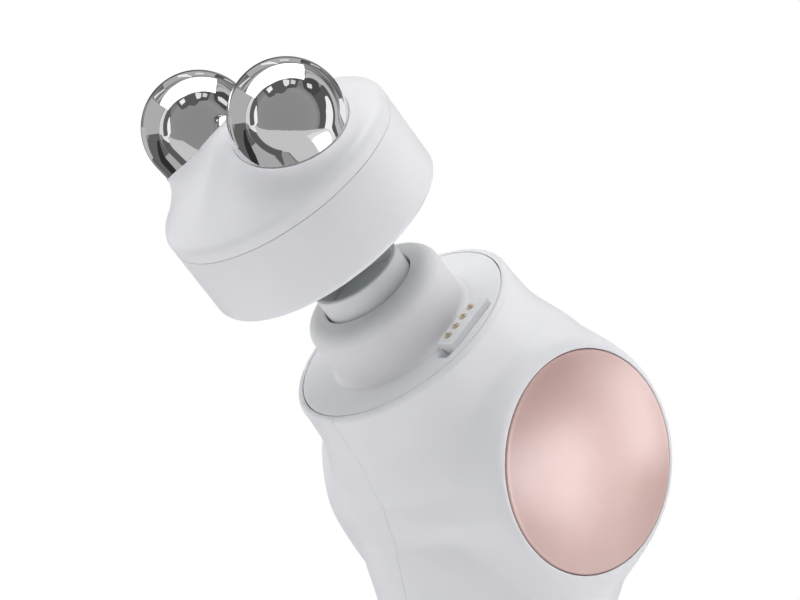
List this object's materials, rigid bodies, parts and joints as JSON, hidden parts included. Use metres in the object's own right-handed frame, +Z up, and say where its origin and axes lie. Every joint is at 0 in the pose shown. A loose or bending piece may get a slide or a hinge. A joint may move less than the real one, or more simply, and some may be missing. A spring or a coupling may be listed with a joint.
{
  "type": "facial toning device",
  "caption": "Handheld facial toner: bent body with side discs, percussion arbor, sprung contacts and back buttons, and a lift-off head with two chrome ball electrodes.",
  "frame": {"origin": "centre of the face of the foot pad that the device stands on", "axes": "+Z up along the handle, +X to the right-hand side disc, -Y the way that the barrel leans"},
  "size_m": [0.0556, 0.0949, 0.1627],
  "materials": {
    "white_plastic": "satin",
    "grey_plastic": "matte",
    "dark_plastic": "matte",
    "rose_metal": "satin",
    "chrome": "polished",
    "gold_contact": "gloss",
    "bronze": "satin",
    "steel": "satin",
    "dark_steel": "satin",
    "dark_rubber": "matte",
    "cell_wrap": "satin",
    "board_green": "satin",
    "lens": "gloss"
  },
  "bodies": {
    "body": {"shell_right": "white_plastic", "shell_left": "white_plastic", "disc_right": "rose_metal", "disc_left": "rose_metal", "face_plate": "white_plastic", "neck_housing": "grey_plastic", "dust_seal": "dark_rubber", "shaft_bush": "bronze", "contact_block": "white_plastic", "contact_sleeves": "gold_contact", "motor": "steel", "chassis": "dark_plastic", "battery": "cell_wrap", "battery_tabs": "steel", "main_board": "board_green", "key_switches": "dark_plastic", "control_panel": "grey_plastic", "indicator_lenses": "lens", "charge_port": "steel", "base_cap": "white_plastic", "foot_pad": "dark_rubber", "shell_screws": "dark_steel", "neck_screws": "dark_steel", "base_screws": "dark_steel"},
    "striker": {"arbor": "grey_plastic", "arbor_magnet": "dark_steel", "drive_shaft": "steel", "yoke": "steel"},
    "crank": {"crank_wheel": "steel", "crank_bearing": "steel"},
    "contacts": {"contact_plungers": "gold_contact"},
    "power_key": {"power_button": "white_plastic"},
    "mode_key": {"mode_button": "white_plastic"},
    "head": {"head_housing": "white_plastic", "head_cap": "white_plastic", "electrode_right": "chrome", "electrode_left": "chrome", "head_board": "board_green", "head_pads": "gold_contact", "head_magnet_ring": "steel", "head_screws": "dark_steel"}
  },
  "joints": [
    {"name": "crank_spin", "type": "hinge", "parent": "body", "child": "crank", "pos_m": [0, -0.00149, 0.09784], "axis": [1, 0, 0], "continuous": true},
    {"name": "percussion", "type": "slide", "parent": "body", "child": "striker", "axis": [0, -0.7431, 0.6691], "range_m": [-0.0015, 0.0015]},
    {"name": "contact_press", "type": "slide", "parent": "body", "child": "contacts", "axis": [0, 0.7431, -0.6691], "range_m": [0, 0.0008], "stiffness_N_per_m": 3000, "springref_m": -0.0002},
    {"name": "power_press", "type": "slide", "parent": "body", "child": "power_key", "axis": [0, -1, 0], "range_m": [0, 0.0006], "stiffness_N_per_m": 1500, "springref_m": -0.0004},
    {"name": "mode_press", "type": "slide", "parent": "body", "child": "mode_key", "axis": [0, -1, 0], "range_m": [0, 0.0006], "stiffness_N_per_m": 1500, "springref_m": -0.0004},
    {"name": "head_lift", "type": "slide", "parent": "body", "child": "head", "axis": [0, -0.7431, 0.6691], "range_m": [-0.02335, 0.03]}
  ]
}
